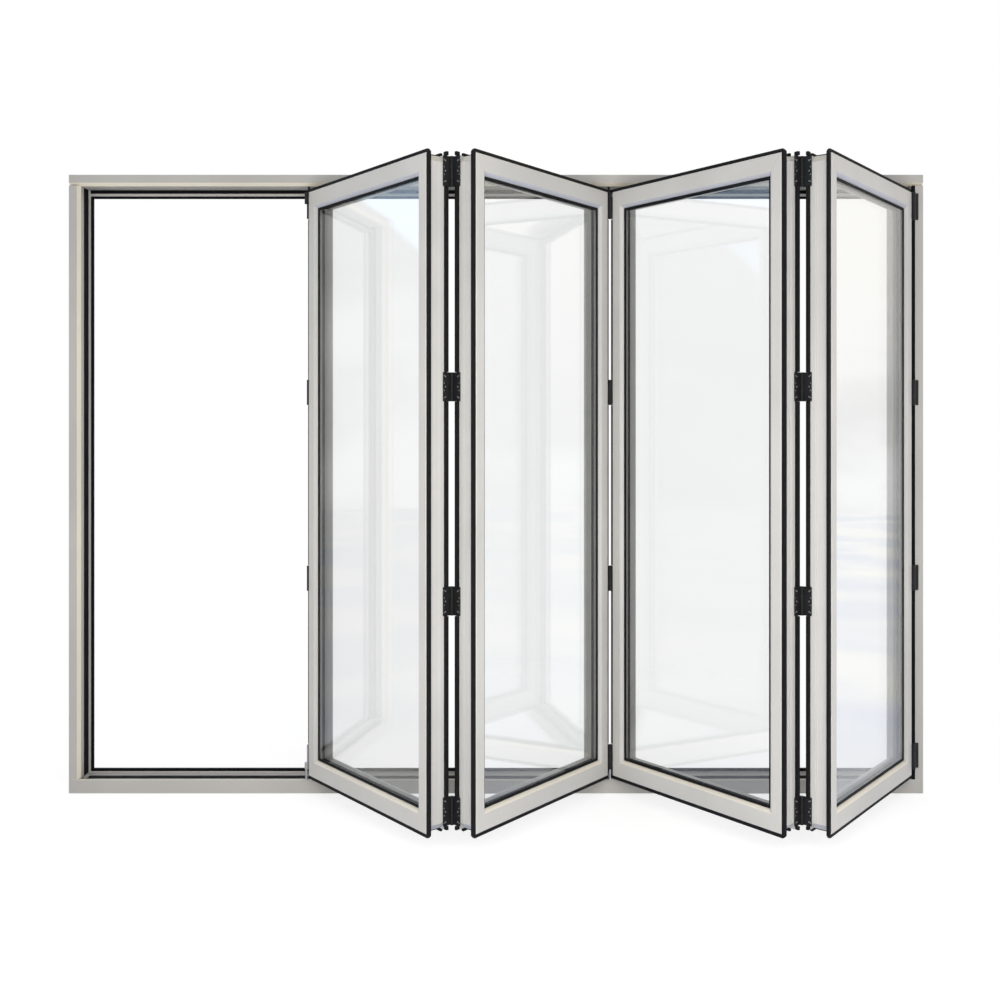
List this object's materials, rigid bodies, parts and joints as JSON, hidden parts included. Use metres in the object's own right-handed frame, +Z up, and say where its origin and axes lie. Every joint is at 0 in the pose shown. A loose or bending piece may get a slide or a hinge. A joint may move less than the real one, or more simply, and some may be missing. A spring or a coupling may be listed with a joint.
{
  "type": "bifold glass patio door",
  "caption": "Bifold patio door in a grey aluminium frame: four glazed leaves in two half-folded pairs, hung from the right jamb, with an open bay on the left.",
  "frame": {"origin": "middle of the sill's underside, where the door stands on the floor slab", "axes": "+Z up; +X along the doorway, towards the jamb that carries the leaves; -Y towards the side that the leaves fold out to"},
  "size_m": [2.9, 0.6593, 2.1],
  "materials": {
    "painted_aluminium": "satin powder coat",
    "black_rubber": "matte",
    "clear_glass": "clear",
    "black_hardware": "satin powder coat",
    "stainless_steel": "brushed"
  },
  "bodies": {
    "root": {"frame_head": "painted_aluminium", "frame_sill": "painted_aluminium", "frame_jamb_left": "painted_aluminium", "frame_jamb_right": "painted_aluminium", "reveal_seal_left": "black_rubber", "reveal_seal_right": "black_rubber", "head_seal": "black_rubber", "threshold_strip": "black_rubber", "frame_back_seal": "black_rubber", "hinge_side_seal": "black_rubber", "leaf_a_near_stile": "painted_aluminium", "leaf_a_far_stile": "painted_aluminium", "leaf_a_bottom_rail": "painted_aluminium", "leaf_a_top_rail": "painted_aluminium", "leaf_a_glass": "clear_glass", "leaf_a_edge_seal": "black_rubber", "leaf_b_near_stile": "painted_aluminium", "leaf_b_far_stile": "painted_aluminium", "leaf_b_bottom_rail": "painted_aluminium", "leaf_b_top_rail": "painted_aluminium", "leaf_b_glass": "clear_glass", "leaf_b_edge_seal": "black_rubber", "leaf_c_near_stile": "painted_aluminium", "leaf_c_far_stile": "painted_aluminium", "leaf_c_bottom_rail": "painted_aluminium", "leaf_c_top_rail": "painted_aluminium", "leaf_c_glass": "clear_glass", "leaf_c_edge_seal": "black_rubber", "leaf_d_near_stile": "painted_aluminium", "leaf_d_far_stile": "painted_aluminium", "leaf_d_bottom_rail": "painted_aluminium", "leaf_d_top_rail": "painted_aluminium", "leaf_d_glass": "clear_glass", "leaf_d_edge_seal": "black_rubber", "hinge_ab_bottom": "black_hardware", "hinge_ab_lower": "black_hardware", "hinge_ab_upper": "black_hardware", "hinge_ab_top": "black_hardware", "hinge_bc_bottom": "black_hardware", "hinge_bc_lower": "black_hardware", "hinge_bc_upper": "black_hardware", "hinge_bc_top": "black_hardware", "hinge_cd_bottom": "black_hardware", "hinge_cd_lower": "black_hardware", "hinge_cd_upper": "black_hardware", "hinge_cd_top": "black_hardware", "hinge_jamb_bottom": "black_hardware", "hinge_jamb_lower": "black_hardware", "hinge_jamb_upper": "black_hardware", "hinge_jamb_top": "black_hardware", "middle_carrier": "stainless_steel", "middle_guide": "stainless_steel", "end_bracket_top": "black_hardware", "end_plate_upper": "black_hardware", "end_plate_lower": "black_hardware", "end_bracket_bottom": "stainless_steel", "end_carrier": "stainless_steel", "end_guide": "stainless_steel"}
  },
  "joints": []
}
